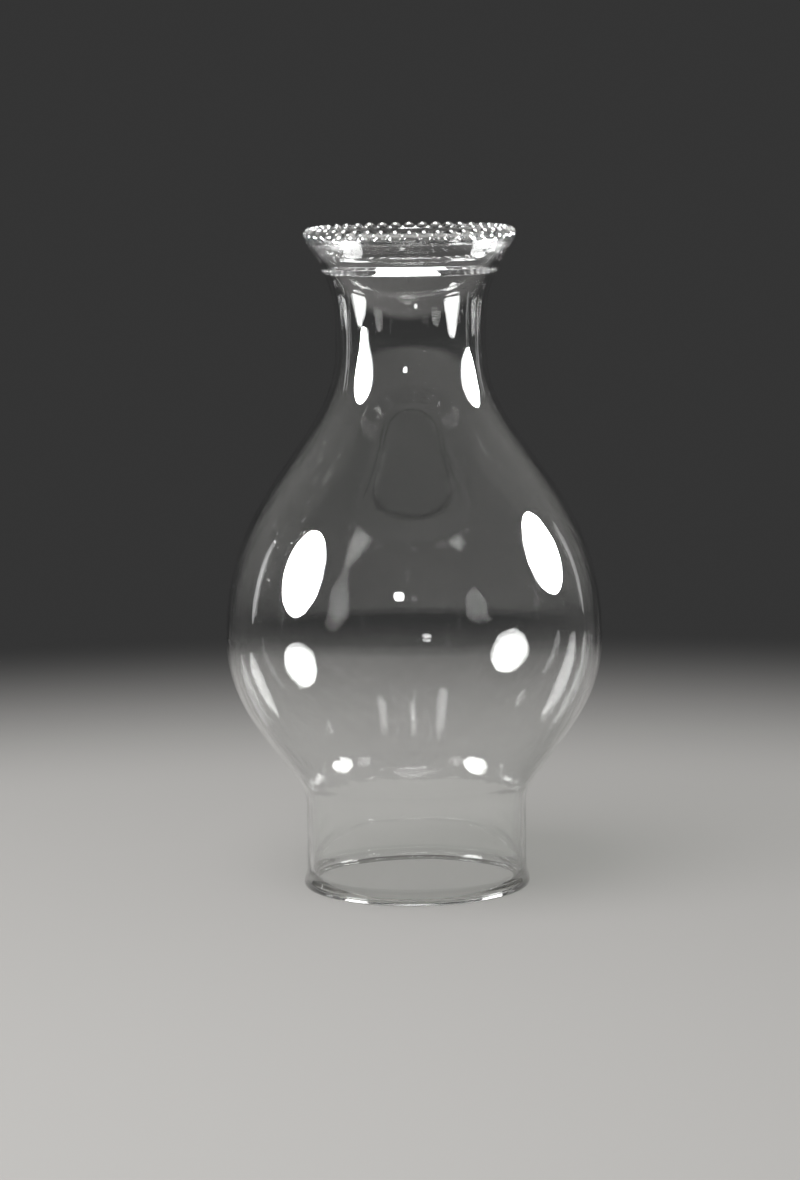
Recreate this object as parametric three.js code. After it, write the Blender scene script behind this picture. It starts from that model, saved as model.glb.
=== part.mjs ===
// Oil lamp chimney: one clear blown glass, open at both ends, with a ring of pearls round its mouth.
// Millimetres, +Z up. The axis of the glass is Z, and its foot stands on Z = 0.

import * as THREE from "three";

// Foot and collar, which a burner's prongs hold
const footDiameter = 75;
const footWall = 2.2;
const footEdgeRadius = 0.6;
const footFlareHeight = 6;
const collarDiameter = 72.7;
const collarWall = 1.7;
const collarHeight = 21.2;

// Shoulder and bulb
const shoulderRadius = 14;
const bulbDiameter = 123.7;
const bulbRise = 47.7;
const bulbWall = 1.3;

// Neck
const neckDiameter = 49.1;
const neckRise = 93.7;
const neckWall = 1.5;

// Crown, where the glass is thicker above a ledge on the inside
const throatDiameter = 55;
const throatRise = 23.1;
const ledgeHeight = 1.4;
const crownWall = 2.6;
const crownDiameter = 60;
const crownRise = 6;

// Rolled lip, whose top is pressed into pearls
const lipDiameter = 68.8;
const lipRadius = 3;
const lipRise = 6.3;
const pearlCount = 44;
const pearlProud = 1.1;

// Slopes of the outside, away from straight up
const shoulderSlope = THREE.MathUtils.degToRad(37.4);
const throatSlope = THREE.MathUtils.degToRad(21);
const lipSlope = THREE.MathUtils.degToRad(36);

// Places round the lip's section, as angles above the level of its centre
const lipInsideEnd = THREE.MathUtils.degToRad(190);
const pearlTop = THREE.MathUtils.degToRad(80);

// How far each curve holds its direction at its lower and upper end, as shares of its rise
const footShares = [0.3, 0.4];
const bulbShares = [0.525, 0.39];
const neckShares = [0.534, 0.335];
const throatShares = [0.52, 0.35];

// Facets round the axis and round each pearl, and steps along each stretch of the outline
const facets = 64;
const facetsPerPearl = 4;
const edgeSteps = 2;
const footSteps = 2;
const shoulderSteps = 3;
const bulbSteps = 8;
const neckSteps = 11;
const throatSteps = 4;
const lipSteps = 9;

function onward(point, slope, distance) {
  return new THREE.Vector2(point.x + distance * Math.sin(slope), point.y + distance * Math.cos(slope));
}

function around(centre, radius, angle) {
  return new THREE.Vector2(centre.x + radius * Math.cos(angle), centre.y + radius * Math.sin(angle));
}

// A curve that leaves its lower point and reaches its upper one at the given slopes
function sweep(lower, lowerSlope, upper, upperSlope, shares) {
  const rise = upper.y - lower.y;
  return new THREE.CubicBezierCurve(
    lower,
    onward(lower, lowerSlope, rise * shares[0]),
    onward(upper, upperSlope, -rise * shares[1]),
    upper,
  );
}

// Levels of the outside, from the foot up
const footTop = new THREE.Vector2(footDiameter / 2, footEdgeRadius);
const collarBase = new THREE.Vector2(collarDiameter / 2, footFlareHeight);
const collarTop = onward(collarBase, 0, collarHeight);
const shoulder = new THREE.ArcCurve(
  collarTop.x + shoulderRadius,
  collarTop.y,
  shoulderRadius,
  Math.PI,
  Math.PI - shoulderSlope,
  true,
);
const shoulderTop = shoulder.getPoint(1);
const bulb = new THREE.Vector2(bulbDiameter / 2, shoulderTop.y + bulbRise);
const neck = new THREE.Vector2(neckDiameter / 2, bulb.y + neckRise);
const throat = new THREE.Vector2(throatDiameter / 2, neck.y + throatRise);
const crown = new THREE.Vector2(crownDiameter / 2, throat.y + crownRise);
const ledge = throat.clone().lerp(crown, ledgeHeight / crownRise);
const lipCentre = new THREE.Vector2(lipDiameter / 2 - lipRadius, crown.y + lipRise);
const lipStart = around(lipCentre, lipRadius, -lipSlope);

// Stations along one stretch of the outside, without its last point, each with its own wall
function stretch(curve, steps, wallBelow, wallAbove) {
  const stations = [];
  for (let step = 0; step < steps; step += 1) {
    const share = step / steps;
    stations.push({
      point: curve.getPoint(share),
      heading: curve.getTangent(share),
      wall: THREE.MathUtils.lerp(wallBelow, wallAbove, share),
    });
  }
  return stations;
}

const outside = [
  ...stretch(sweep(footTop, 0, collarBase, 0, footShares), footSteps, footWall, collarWall),
  ...stretch(new THREE.LineCurve(collarBase, collarTop), 1, collarWall, collarWall),
  ...stretch(shoulder, shoulderSteps, collarWall, bulbWall),
  ...stretch(sweep(shoulderTop, shoulderSlope, bulb, 0, bulbShares), bulbSteps, bulbWall, bulbWall),
  ...stretch(sweep(bulb, 0, neck, 0, neckShares), neckSteps, bulbWall, neckWall),
  ...stretch(sweep(neck, 0, throat, throatSlope, throatShares), throatSteps, neckWall, neckWall),
  ...stretch(new THREE.LineCurve(throat, ledge), 1, neckWall, crownWall),
  ...stretch(new THREE.LineCurve(ledge, crown), 1, crownWall, crownWall),
  ...stretch(new THREE.LineCurve(crown, lipStart), 1, crownWall, crownWall),
];

function insideOf({ point, heading, wall }) {
  return new THREE.Vector2(point.x - heading.y * wall, point.y + heading.x * wall);
}

function ringPoint(point, turn) {
  return new THREE.Vector3(point.x * Math.cos(turn), point.x * Math.sin(turn), point.y);
}

// Points round the axis at one place of the outline
function plainRing(point) {
  const ring = [];
  for (let column = 0; column < facets; column += 1) {
    ring.push(ringPoint(point, (2 * Math.PI * column) / facets));
  }
  return ring;
}

// Points round the axis at one place of the lip, standing out where a pearl passes under them
function pearlRing(angle) {
  const ring = [];
  const columns = pearlCount * facetsPerPearl;
  const overShare = Math.max(Math.cos(angle - pearlTop), 0);
  for (let column = 0; column < columns; column += 1) {
    const turn = (2 * Math.PI * column) / columns;
    const acrossShare = Math.abs(Math.cos((turn * pearlCount) / 2));
    const proud = pearlProud * overShare * acrossShare;
    ring.push(ringPoint(around(lipCentre, lipRadius + proud, angle), turn));
  }
  return ring;
}

// Rings in a closed loop: round the foot's edge, up the outside, over the lip and down the inside
function glassRings() {
  const rings = [];
  const footInner = new THREE.Vector2(footTop.x - footWall + footEdgeRadius, footEdgeRadius);
  const footOuter = new THREE.Vector2(footTop.x - footEdgeRadius, footEdgeRadius);
  for (let step = 0; step <= edgeSteps; step += 1) {
    rings.push(plainRing(around(footInner, footEdgeRadius, Math.PI * (1 + step / edgeSteps / 2))));
  }
  for (let step = 0; step < edgeSteps; step += 1) {
    rings.push(plainRing(around(footOuter, footEdgeRadius, Math.PI * (step / edgeSteps - 1) / 2)));
  }
  for (const station of outside) {
    rings.push(plainRing(station.point));
  }
  for (let step = 0; step <= lipSteps; step += 1) {
    rings.push(pearlRing(THREE.MathUtils.lerp(-lipSlope, lipInsideEnd, step / lipSteps)));
  }
  for (const station of outside.slice(1).reverse()) {
    rings.push(plainRing(insideOf(station)));
  }
  return rings;
}

// Triangles between two neighbouring rings, which may have different numbers of points
function bridge(first, second) {
  const triangles = [];
  let from = 0;
  let to = 0;
  while (from < first.length || to < second.length) {
    const near = first[from % first.length];
    const far = second[to % second.length];
    if ((from + 1) * second.length <= (to + 1) * first.length) {
      from += 1;
      triangles.push(near, first[from % first.length], far);
    } else {
      to += 1;
      triangles.push(near, second[to % second.length], far);
    }
  }
  return triangles;
}

function loopedSurface(rings) {
  const places = [];
  const numbered = rings.map((ring) => ring.map((point) => places.push(point) - 1));
  const faces = numbered.flatMap((ring, index) => bridge(ring, numbered[(index + 1) % numbered.length]));
  const surface = new THREE.BufferGeometry().setFromPoints(places);
  surface.setIndex(faces);
  surface.computeVertexNormals();
  return surface;
}

const clearGlass = new THREE.MeshStandardMaterial({
  color: "#eef1ef",
  roughness: 0.05,
  metalness: 0,
  transparent: true,
  opacity: 0.35,
});

const chimney = new THREE.Mesh(loopedSurface(glassRings()), clearGlass);
chimney.name = "chimney_glass";

const oilLampChimney = new THREE.Group();
oilLampChimney.add(chimney);

export default oilLampChimney;
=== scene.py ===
import math

import bmesh
import bpy
from mathutils import Matrix, Vector, noise
from mathutils.geometry import interpolate_bezier


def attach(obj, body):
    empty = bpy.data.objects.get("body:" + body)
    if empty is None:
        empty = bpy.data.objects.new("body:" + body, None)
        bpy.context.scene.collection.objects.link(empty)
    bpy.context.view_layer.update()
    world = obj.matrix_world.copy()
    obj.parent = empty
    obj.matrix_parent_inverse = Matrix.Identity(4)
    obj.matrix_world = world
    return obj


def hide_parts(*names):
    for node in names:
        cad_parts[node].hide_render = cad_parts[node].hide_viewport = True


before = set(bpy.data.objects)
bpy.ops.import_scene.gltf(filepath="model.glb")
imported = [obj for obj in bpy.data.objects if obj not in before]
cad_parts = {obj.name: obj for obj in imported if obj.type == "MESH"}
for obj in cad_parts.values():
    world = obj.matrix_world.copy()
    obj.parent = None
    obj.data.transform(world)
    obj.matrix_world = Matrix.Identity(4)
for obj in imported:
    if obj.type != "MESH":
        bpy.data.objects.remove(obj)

scene = bpy.context.scene
scene.view_settings.view_transform = "Standard"
mm = 0.001
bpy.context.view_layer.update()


# Camera

camera = {
    "distance": 1.17,           # level distance from the axis of the glass
    "height": 0.2683,           # above the table
    "aside": -0.0045,           # the glass stands a little right of the middle
    "pitch": math.radians(8.3),
    "roll": math.radians(0.73),
    "lens": 109.94,
    "nearest": 0.05,            # it draws nothing nearer or farther than these
    "farthest": 30,
}


def placeCamera():
    data = bpy.data.cameras.new("camera")
    data.lens = camera["lens"]
    data.clip_start = camera["nearest"]
    data.clip_end = camera["farthest"]
    view = bpy.data.objects.new("camera", data)
    scene.collection.objects.link(view)
    tilt = Matrix.Rotation(math.radians(90) - camera["pitch"], 4, "X")
    roll = Matrix.Rotation(-camera["roll"], 4, "Z")
    place = Matrix.Translation((camera["aside"], -camera["distance"], camera["height"]))
    view.matrix_world = place @ tilt @ roll
    scene.camera = view


placeCamera()
print("camera placed")


# Shader helpers

def addNode(tree, kind, **settings):
    node = tree.nodes.new(kind)
    for name, value in settings.items():
        setattr(node, name, value)
    return node


def newMaterial(name):
    material = bpy.data.materials.new(name)
    material.use_nodes = True
    return material, material.node_tree


# Outline of the glass, in millimetres: half widths and heights above the table

glass = {
    "footRadius": 37.5,
    "footEdge": 0.6,
    "footRoll": 0.5,            # round of its inner edge
    "footRollGap": 0.3,         # between that round and the wall above it
    "flareHeight": 6,
    "flareShares": (0.3, 0.4),
    "collarRadius": 36.35,
    "collarTop": 27.2,
    "shoulderRadius": 14,
    "shoulderSlope": math.radians(37.4),
    "bulbRadius": 61.85,
    "bulbHeight": 83.4,
    "bulbShares": (0.525, 0.39),
    "neckRadius": 24.55,
    "neckHeight": 177.1,
    "neckShares": (0.534, 0.335),
    "throatRadius": 27.5,
    "throatHeight": 200.2,
    "throatSlope": math.radians(21),
    "throatShares": (0.52, 0.35),
    "crownShares": (0.6, 0.25),
    "lipCentre": Vector((31.2, 212.6)),
    "lipRadius": 2.8,
    "lipStart": math.radians(-36),
    "lipEnd": math.radians(184),
    # heights and the wall at each, from the foot to the ledge inside the crown
    "walls": ((0, 4.4), (5.5, 1.7), (27, 1.7), (40, 1.9), (62, 1.9), (100, 1.3), (165, 1.5), (204, 1.5)),
    # the ledge leans into the crown, and the bore opens again above it
    "ledgeHeight": 201.9,
    "ledgeCorner": 0.3,
    "ledgeSlope": math.radians(22),
    "ledgeRise": 1.8,
    "ledgeRadius": 0.5,
    "boreSlopes": (math.radians(25), math.radians(12)),
    "boreShares": (0.33, 0.55),
    "columns": 528,             # twelve to a pearl
    "closest": 0.01,            # points nearer than this are one
}

pearls = {
    "count": 44,
    "proud": 1.2,
    "width": 0.76,              # of the pitch
    "middle": math.radians(68),  # round the lip, from level outwards
    "reach": math.radians(58),  # on either side of the middle
    "fullness": 0.55,           # lower is fuller, and 0.5 is round
    "tolerance": 0.001,         # how far from the rolled lip a point may lie
}

waves = {
    "depth": 0.11,              # millimetres, like the lengths below
    "across": 34,               # length of a wave round the glass
    "along": 26,                # and up it
    "insideShift": 40,          # keeps the waves of the two faces apart
    "calmFoot": 12,             # heights over which the waves fade out, above the foot
    "calmLip": 20,              # and below the lip
}


def around(centre, radius, turn):
    return centre + radius * Vector((math.cos(turn), math.sin(turn)))


def arc(centre, radius, start, end, steps):
    turns = [start + (end - start) * step / steps for step in range(steps + 1)]
    return [around(centre, radius, turn) for turn in turns]


def sweep(lower, lowerSlope, upper, upperSlope, shares, steps):
    rise = upper.y - lower.y
    lowerHandle = lower + rise * shares[0] * Vector((math.sin(lowerSlope), math.cos(lowerSlope)))
    upperHandle = upper - rise * shares[1] * Vector((math.sin(upperSlope), math.cos(upperSlope)))
    return interpolate_bezier(lower, lowerHandle, upperHandle, upper, steps + 1)


def straight(lower, upper, steps):
    return [lower.lerp(upper, step / steps) for step in range(steps + 1)]


# One list of points, without those that two stretches share
def joined(*stretches):
    points = []
    for stretch in stretches:
        for point in stretch:
            if not points or (point - points[-1]).length > glass["closest"]:
                points.append(point)
    return points


def outsideOutline():
    footTop = Vector((glass["footRadius"], glass["footEdge"]))
    collarBase = Vector((glass["collarRadius"], glass["flareHeight"]))
    collarTop = Vector((glass["collarRadius"], glass["collarTop"]))
    shoulderCentre = collarTop + Vector((glass["shoulderRadius"], 0))
    shoulderEnd = math.pi - glass["shoulderSlope"]
    shoulder = arc(shoulderCentre, glass["shoulderRadius"], math.pi, shoulderEnd, steps=6)
    bulb = Vector((glass["bulbRadius"], glass["bulbHeight"]))
    neck = Vector((glass["neckRadius"], glass["neckHeight"]))
    throat = Vector((glass["throatRadius"], glass["throatHeight"]))
    lipStart = around(glass["lipCentre"], glass["lipRadius"], glass["lipStart"])
    return joined(
        sweep(footTop, 0, collarBase, 0, glass["flareShares"], steps=5),
        straight(collarBase, collarTop, steps=3),
        shoulder,
        sweep(shoulder[-1], glass["shoulderSlope"], bulb, 0, glass["bulbShares"], steps=12),
        sweep(bulb, 0, neck, 0, glass["neckShares"], steps=18),
        sweep(neck, 0, throat, glass["throatSlope"], glass["throatShares"], steps=9),
        sweep(throat, glass["throatSlope"], lipStart, -glass["lipStart"], glass["crownShares"], steps=9),
    )


# The wall swells smoothly from one given height to the next
def wallAt(height):
    below, above = glass["walls"][0], glass["walls"][-1]
    for lower, upper in zip(glass["walls"], glass["walls"][1:]):
        if lower[0] <= height <= upper[0]:
            below, above = lower, upper
    share = min(max((height - below[0]) / (above[0] - below[0]), 0), 1)
    share = share * share * (3 - 2 * share)
    return below[1] + (above[1] - below[1]) * share


# From the foot to the ledge the inside follows the outside, and the crown has a section of its own
def insideOutline(outside):
    inside = []
    for before, point, after in zip(outside, outside[1:], outside[2:]):
        heading = (after - before).normalized()
        offset = point + wallAt(point.y) * Vector((-heading.y, heading.x))
        if offset.y > glass["ledgeHeight"]:
            share = (glass["ledgeHeight"] - inside[-1].y) / (offset.y - inside[-1].y)
            inside.append(inside[-1].lerp(offset, share))
            break
        if offset.y > glass["footRoll"] + glass["footRollGap"]:
            inside.append(offset)
    heading = (inside[-1] - inside[-2]).normalized()
    lean = math.atan2(heading.x, heading.y)
    slope, (boreLower, boreUpper) = glass["ledgeSlope"], glass["boreSlopes"]
    cornerCentre = inside[-1] + glass["ledgeCorner"] * Vector((-heading.y, heading.x))
    corner = arc(cornerCentre, glass["ledgeCorner"], -lean, slope, steps=4)
    underEnd = corner[-1] + glass["ledgeRise"] * Vector((-math.tan(slope), 1))
    under = straight(corner[-1], underEnd, steps=4)
    ledgeCentre = around(underEnd, glass["ledgeRadius"], slope)
    ledge = arc(ledgeCentre, glass["ledgeRadius"], math.pi + slope, math.pi - boreLower, steps=6)
    boreTop = around(glass["lipCentre"], glass["lipRadius"], glass["lipEnd"])
    bore = sweep(ledge[-1], boreLower, boreTop, boreUpper, glass["boreShares"], steps=9)
    return joined(inside, corner, under, ledge, bore)[::-1]


def glassOutline():
    edge, roll = glass["footEdge"], glass["footRoll"]
    footBore = glass["footRadius"] - glass["walls"][0][1]
    footInner = arc(Vector((footBore + roll, roll)), roll, math.pi, math.pi * 1.5, steps=4)
    footOuter = arc(Vector((glass["footRadius"] - edge, edge)), edge, -math.pi / 2, 0, steps=4)
    outside = outsideOutline()
    lip = arc(glass["lipCentre"], glass["lipRadius"], glass["lipStart"], glass["lipEnd"], steps=34)
    return joined(footInner, footOuter, outside, lip), insideOutline(outside)


# Blown glass is never quite true: both of its faces waver a little, each in its own way
def waver(mesh, insideLayer):
    for vert in mesh.verts:
        turn = math.atan2(vert.co.y, vert.co.x)
        inside = vert[insideLayer]
        place = Vector((
            vert.co.x / mm / waves["across"],
            vert.co.y / mm / waves["across"],
            vert.co.z / mm / waves["along"] + waves["insideShift"] * inside,
        ))
        aboveFoot = vert.co.z / mm / waves["calmFoot"]
        belowLip = (glass["lipCentre"].y - vert.co.z / mm) / waves["calmLip"]
        calm = min(aboveFoot, 1) * min(max(belowLip, 0), 1)
        depth = waves["depth"] * calm * (0.5 + 0.5 * noise.noise(place)) * mm
        vert.co.x -= depth * math.cos(turn)
        vert.co.y -= depth * math.sin(turn)


# Each pearl is a bead that swells out of the rolled lip
def raisePearls(mesh):
    for vert in mesh.verts:
        section = Vector((math.hypot(vert.co.x, vert.co.y), vert.co.z)) / mm
        fromCentre = section - glass["lipCentre"]
        if abs(fromCentre.length - glass["lipRadius"]) > pearls["tolerance"]:
            continue
        past = (math.atan2(fromCentre.y, fromCentre.x) - pearls["middle"]) / pearls["reach"]
        turn = math.atan2(vert.co.y, vert.co.x) * pearls["count"] / math.tau
        aside = 2 * abs(turn - round(turn)) / pearls["width"]
        swell = max(1 - past * past, 0) * max(1 - aside * aside, 0)
        proud = pearls["proud"] * swell ** pearls["fullness"]
        section += fromCentre.normalized() * proud
        outward = Vector((vert.co.x, vert.co.y)).normalized() * section.x * mm
        vert.co = (outward.x, outward.y, section.y * mm)


def makeChimney():
    mesh = bmesh.new()
    insideLayer = mesh.verts.layers.int.new("inside")  # 1 on the inner face
    chain = []
    for inside, stretch in enumerate(glassOutline()):
        for point in stretch:
            vert = mesh.verts.new((point.x * mm, 0, point.y * mm))
            vert[insideLayer] = inside
            chain.append(vert)
    loop = [mesh.edges.new(pair) for pair in zip(chain, chain[1:] + chain[:1])]
    bmesh.ops.spin(
        mesh, geom=chain + loop, cent=(0, 0, 0), axis=(0, 0, 1), dvec=(0, 0, 0),
        angle=math.tau, steps=glass["columns"], use_merge=True, use_duplicate=False,
    )
    bmesh.ops.remove_doubles(mesh, verts=mesh.verts, dist=1e-7)
    raisePearls(mesh)
    waver(mesh, insideLayer)
    bmesh.ops.recalc_face_normals(mesh, faces=mesh.faces)
    for face in mesh.faces:
        face.smooth = True
    data = bpy.data.meshes.new("chimney")
    mesh.to_mesh(data)
    mesh.free()
    chimney = bpy.data.objects.new("chimney", data)
    scene.collection.objects.link(chimney)
    return chimney


finish = {
    "colour": (0.975, 0.98, 0.975, 1),
    "ior": 1.52,
    "polish": 1,                # a clear coat, for the strong gloss of fire-polished glass
    "streakScale": 170,
    "streakStretch": (1, 1, 0.06),
    "rippleScale": 75,
    "reliefStrength": 0.35,
    "reliefDepth": 0.00016,
    "crownFrom": 0.2085,        # height over which the crown turns duller
    "crownTo": 0.2125,
    "crownRoughness": 0.12,
    "dustScale": 420,
    "dustFrom": 0.6,
    "dustTo": 0.72,
    "dustRoughness": 0.14,
    "patchScale": 16,
    "patchFrom": 0.5,
    "patchTo": 0.62,
    "shadow": (0.96, 0.965, 0.96, 1),  # what one face lets through to the table
}


def glassMaterial():
    material, tree = newMaterial("clearGlass")
    surface = tree.nodes["Principled BSDF"]
    surface.inputs["Base Color"].default_value = finish["colour"]
    surface.inputs["IOR"].default_value = finish["ior"]
    surface.inputs["Transmission Weight"].default_value = 1
    surface.inputs["Coat Weight"].default_value = finish["polish"]
    surface.inputs["Coat Roughness"].default_value = 0
    place = addNode(tree, "ShaderNodeTexCoord")

    # long streaks drawn up the wall as the glass was blown
    stretch = addNode(tree, "ShaderNodeMapping")
    stretch.inputs["Scale"].default_value = finish["streakStretch"]
    streaks = addNode(tree, "ShaderNodeTexNoise")
    streaks.inputs["Scale"].default_value = finish["streakScale"]
    streaks.inputs["Detail"].default_value = 2
    ripples = addNode(tree, "ShaderNodeTexNoise")
    ripples.inputs["Scale"].default_value = finish["rippleScale"]
    ripples.inputs["Detail"].default_value = 1
    relief = addNode(tree, "ShaderNodeMath", operation="ADD")
    bump = addNode(tree, "ShaderNodeBump")
    bump.inputs["Strength"].default_value = finish["reliefStrength"]
    bump.inputs["Distance"].default_value = finish["reliefDepth"]
    tree.links.new(place.outputs["Object"], stretch.inputs["Vector"])
    tree.links.new(stretch.outputs["Vector"], streaks.inputs["Vector"])
    tree.links.new(place.outputs["Object"], ripples.inputs["Vector"])
    tree.links.new(streaks.outputs["Fac"], relief.inputs[0])
    tree.links.new(ripples.outputs["Fac"], relief.inputs[1])
    tree.links.new(relief.outputs["Value"], bump.inputs["Height"])
    tree.links.new(bump.outputs["Normal"], surface.inputs["Normal"])

    # the crown is a little duller than the blown wall, and specks of dust lie in patches
    parts = addNode(tree, "ShaderNodeSeparateXYZ")
    crown = addNode(tree, "ShaderNodeMapRange", interpolation_type="SMOOTHSTEP")
    crown.inputs["From Min"].default_value = finish["crownFrom"]
    crown.inputs["From Max"].default_value = finish["crownTo"]
    crown.inputs["To Max"].default_value = finish["crownRoughness"]
    dust = addNode(tree, "ShaderNodeTexNoise")
    dust.inputs["Scale"].default_value = finish["dustScale"]
    dust.inputs["Detail"].default_value = 4
    specks = addNode(tree, "ShaderNodeMapRange", interpolation_type="SMOOTHSTEP")
    specks.inputs["From Min"].default_value = finish["dustFrom"]
    specks.inputs["From Max"].default_value = finish["dustTo"]
    specks.inputs["To Max"].default_value = finish["dustRoughness"]
    patch = addNode(tree, "ShaderNodeTexNoise")
    patch.inputs["Scale"].default_value = finish["patchScale"]
    patches = addNode(tree, "ShaderNodeMapRange", interpolation_type="SMOOTHSTEP")
    patches.inputs["From Min"].default_value = finish["patchFrom"]
    patches.inputs["From Max"].default_value = finish["patchTo"]
    dusty = addNode(tree, "ShaderNodeMath", operation="MULTIPLY")
    rough = addNode(tree, "ShaderNodeMath", operation="MAXIMUM")
    tree.links.new(place.outputs["Object"], parts.inputs["Vector"])
    tree.links.new(parts.outputs["Z"], crown.inputs["Value"])
    tree.links.new(place.outputs["Object"], dust.inputs["Vector"])
    tree.links.new(dust.outputs["Fac"], specks.inputs["Value"])
    tree.links.new(place.outputs["Object"], patch.inputs["Vector"])
    tree.links.new(patch.outputs["Fac"], patches.inputs["Value"])
    tree.links.new(specks.outputs["Result"], dusty.inputs[0])
    tree.links.new(patches.outputs["Result"], dusty.inputs[1])
    tree.links.new(dusty.outputs["Value"], rough.inputs[0])
    tree.links.new(crown.outputs["Result"], rough.inputs[1])
    tree.links.new(rough.outputs["Value"], surface.inputs["Roughness"])

    # light reaches the table through the glass, a little dimmed
    path = addNode(tree, "ShaderNodeLightPath")
    clear = addNode(tree, "ShaderNodeBsdfTransparent")
    clear.inputs["Color"].default_value = finish["shadow"]
    both = addNode(tree, "ShaderNodeMixShader")
    tree.links.new(path.outputs["Is Shadow Ray"], both.inputs["Fac"])
    tree.links.new(surface.outputs["BSDF"], both.inputs[1])
    tree.links.new(clear.outputs["BSDF"], both.inputs[2])
    tree.links.new(both.outputs["Shader"], tree.nodes["Material Output"].inputs["Surface"])
    return material


chimney = makeChimney()
chimney.data.materials.append(glassMaterial())
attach(chimney, "root")
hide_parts("chimney_glass")
print("chimney made:", len(chimney.data.polygons), "faces")


# Studio

studio = {
    "floorColour": (0.5, 0.49, 0.475),
    # painted pool of light: the pale floor fades into the dim backdrop between these distances from its
    # middle, standing in for lamplight falling off across the table
    "lightPoolMiddle": (0, -0.25, 0),
    "fadeFrom": 0.42,
    "fadeTo": 0.78,
    "floorRadius": 8,
    "floorRoughness": 0.9,
    "backdrop": 0.035,
    "fill": 0.15,               # what the backdrop adds to matt surfaces
    "aim": Vector((0, 0, 0.12)),  # middle of the bulb, which every lamp faces
}

# Metres and watts, with azimuths from the camera's side. All but tableBox show only in the glass
softboxes = {
    "leftBox": {"azimuth": -74.5, "distance": 0.45, "height": 0.26, "size": (0.24, 0.28), "watts": 14},
    "rightBox": {"azimuth": 94.8, "distance": 0.45, "height": 0.262, "size": (0.24, 0.225), "watts": 11},
    "frontBox": {"azimuth": -9, "distance": 0.5, "height": 0.258, "size": (0.055, 0.04), "watts": 0.08},
    "topBox": {"azimuth": -170, "distance": 0.25, "height": 1.0, "size": (0.42, 0.9), "watts": 11},
    "backBox": {"azimuth": 180.5, "distance": 0.8, "height": 0.6, "size": (0.135, 0.125), "watts": 0.2},
    "leftCard": {"azimuth": -112, "distance": 0.7, "height": 0.2, "size": (0.05, 0.3), "watts": 0.06},
    "rightCard": {"azimuth": 122, "distance": 0.7, "height": 0.2, "size": (0.05, 0.3), "watts": 0.03},
    "tableBox": {"azimuth": -40, "distance": 0.7, "height": 1.2, "size": (1.2, 1.2), "watts": 20},
}


def makeFloor():
    mesh = bmesh.new()
    bmesh.ops.create_circle(mesh, cap_ends=True, segments=96, radius=studio["floorRadius"])
    data = bpy.data.meshes.new("floor")
    mesh.to_mesh(data)
    mesh.free()
    floor = bpy.data.objects.new("floor", data)
    scene.collection.objects.link(floor)
    material, tree = newMaterial("floorPaper")
    surface = tree.nodes["Principled BSDF"]
    surface.inputs["Base Color"].default_value = (*studio["floorColour"], 1)
    surface.inputs["Roughness"].default_value = studio["floorRoughness"]
    surface.inputs["Specular IOR Level"].default_value = 0
    # painted pool of light: pale near the glass, and farther out a dim glow at the backdrop's strength
    # in place of the lit floor
    place = addNode(tree, "ShaderNodeTexCoord")
    distance = addNode(tree, "ShaderNodeVectorMath", operation="DISTANCE")
    distance.inputs[1].default_value = studio["lightPoolMiddle"]
    fade = addNode(tree, "ShaderNodeMapRange", interpolation_type="SMOOTHSTEP")
    fade.inputs["From Min"].default_value = studio["fadeFrom"]
    fade.inputs["From Max"].default_value = studio["fadeTo"]
    far = addNode(tree, "ShaderNodeEmission")
    far.inputs["Strength"].default_value = studio["backdrop"]
    both = addNode(tree, "ShaderNodeMixShader")
    tree.links.new(place.outputs["Object"], distance.inputs[0])
    tree.links.new(distance.outputs["Value"], fade.inputs["Value"])
    tree.links.new(fade.outputs["Result"], both.inputs["Fac"])
    tree.links.new(surface.outputs["BSDF"], both.inputs[1])
    tree.links.new(far.outputs["Emission"], both.inputs[2])
    tree.links.new(both.outputs["Shader"], tree.nodes["Material Output"].inputs["Surface"])
    data.materials.append(material)


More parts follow.
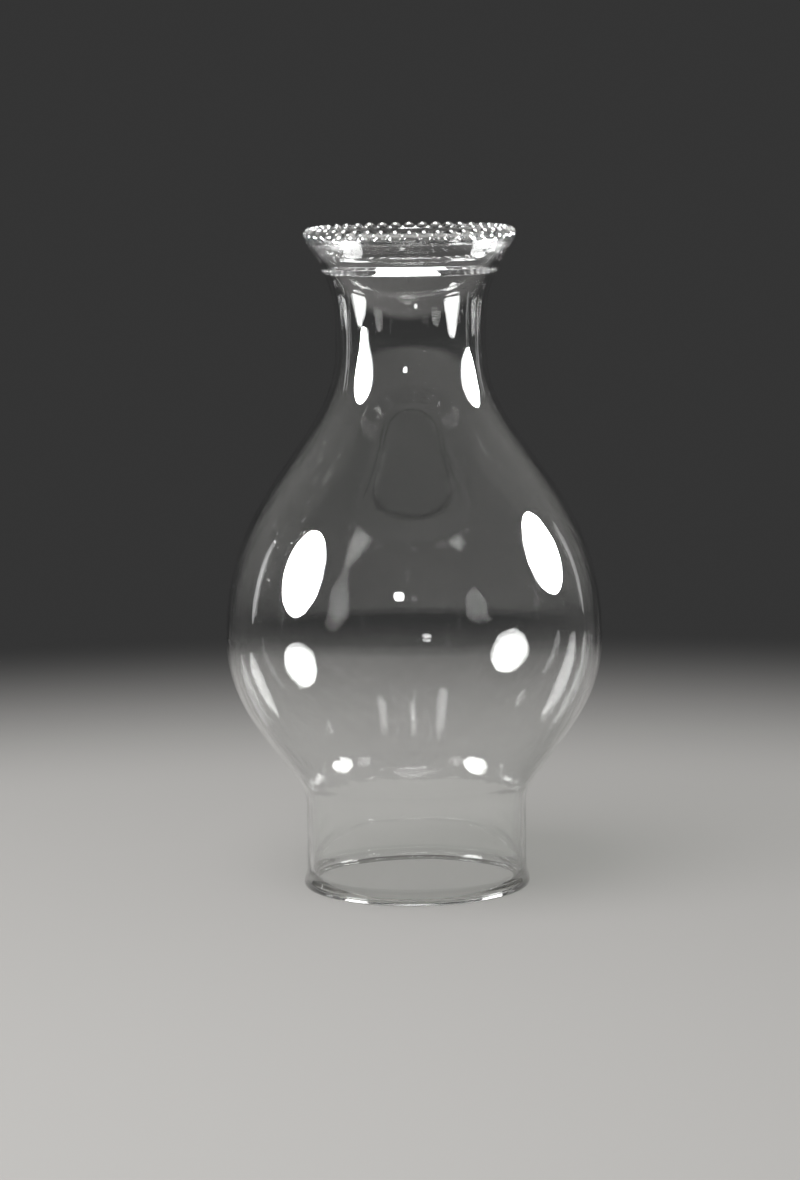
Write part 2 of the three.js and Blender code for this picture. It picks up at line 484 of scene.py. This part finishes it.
def makeBackdrop():
    world = bpy.data.worlds.new("studio")
    world.use_nodes = True
    scene.world = world
    tree = world.node_tree
    background = tree.nodes["Background"]
    path = addNode(tree, "ShaderNodeLightPath")
    seen = addNode(tree, "ShaderNodeMath", operation="MAXIMUM")
    shown = addNode(tree, "ShaderNodeMath", operation="MAXIMUM")
    strength = addNode(tree, "ShaderNodeMapRange")
    strength.inputs["To Min"].default_value = studio["fill"]
    strength.inputs["To Max"].default_value = studio["backdrop"]
    tree.links.new(path.outputs["Is Camera Ray"], seen.inputs[0])
    tree.links.new(path.outputs["Is Glossy Ray"], seen.inputs[1])
    tree.links.new(seen.outputs[0], shown.inputs[0])
    tree.links.new(path.outputs["Is Transmission Ray"], shown.inputs[1])
    tree.links.new(shown.outputs[0], strength.inputs["Value"])
    tree.links.new(strength.outputs["Result"], background.inputs["Strength"])
    background.inputs["Color"].default_value = (1, 1, 1, 1)


# tableBox lights the table. The others are seen in the glass and leave the table as it is
def hangSoftbox(name, box):
    data = bpy.data.lights.new(name, "AREA")
    data.shape = "ELLIPSE"
    data.size, data.size_y = box["size"]
    data.energy = box["watts"]
    lamp = bpy.data.objects.new(name, data)
    scene.collection.objects.link(lamp)
    azimuth = math.radians(box["azimuth"])
    across, along = box["distance"] * math.sin(azimuth), -box["distance"] * math.cos(azimuth)
    lamp.location = (across, along, box["height"])
    away = lamp.location - studio["aim"]
    lamp.rotation_mode = "QUATERNION"
    lamp.rotation_quaternion = away.to_track_quat("Z", "Y")
    lamp.visible_camera = False
    if name == "tableBox":
        lamp.visible_glossy = lamp.visible_transmission = False
        return
    lamp.visible_diffuse = False
    data.use_nodes = True
    tree = data.node_tree
    path = addNode(tree, "ShaderNodeLightPath")
    first = addNode(tree, "ShaderNodeMath", operation="LESS_THAN")
    first.inputs[1].default_value = 0.5  # light that has met nothing matt
    tree.links.new(path.outputs["Diffuse Depth"], first.inputs[0])
    tree.links.new(first.outputs["Value"], tree.nodes["Emission"].inputs["Strength"])


makeFloor()
makeBackdrop()
for name, box in softboxes.items():
    hangSoftbox(name, box)
print("studio set")
